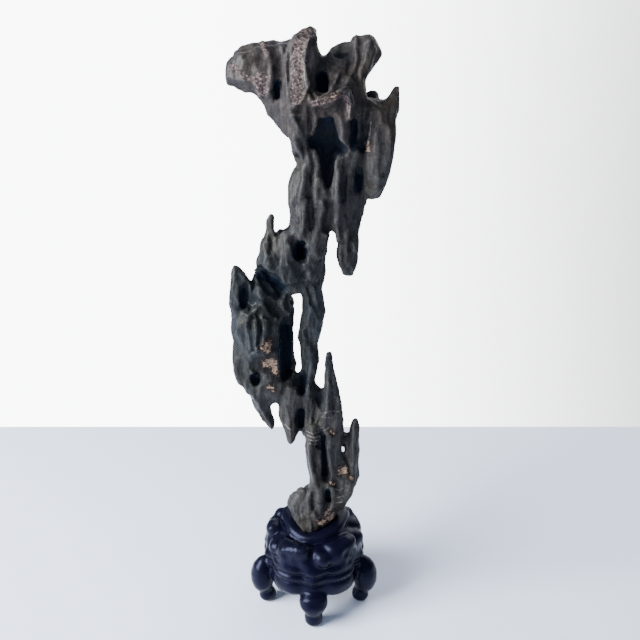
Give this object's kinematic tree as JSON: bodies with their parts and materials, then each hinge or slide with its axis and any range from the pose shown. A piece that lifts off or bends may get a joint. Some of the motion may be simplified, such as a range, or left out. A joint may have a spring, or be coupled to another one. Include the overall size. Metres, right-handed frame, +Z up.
{
  "type": "scholars rock on a stand",
  "caption": "Tall, slender, perforated scholars rock with a broad overhanging head, standing in the socket of a lobed, carved black wood stand on small ball feet.",
  "frame": {"origin": "centre of the footprint of the whole object's box, on the surface it stands on", "axes": "+Z up along the standing stone; -Y towards the viewer, the side the head's cavities and one foot face; +X to the side of the hanging lobe"},
  "size_m": [0.1385, 0.117, 0.5214],
  "materials": {
    "rock": "dark grey-brown limestone, satin from handling, with worn pale ridges, a pinkish pitted crust and tan chips",
    "stand": "carved hardwood, black satin lacquer"
  },
  "bodies": {
    "root": {"rock": "rock", "stand": "stand"}
  },
  "joints": []
}
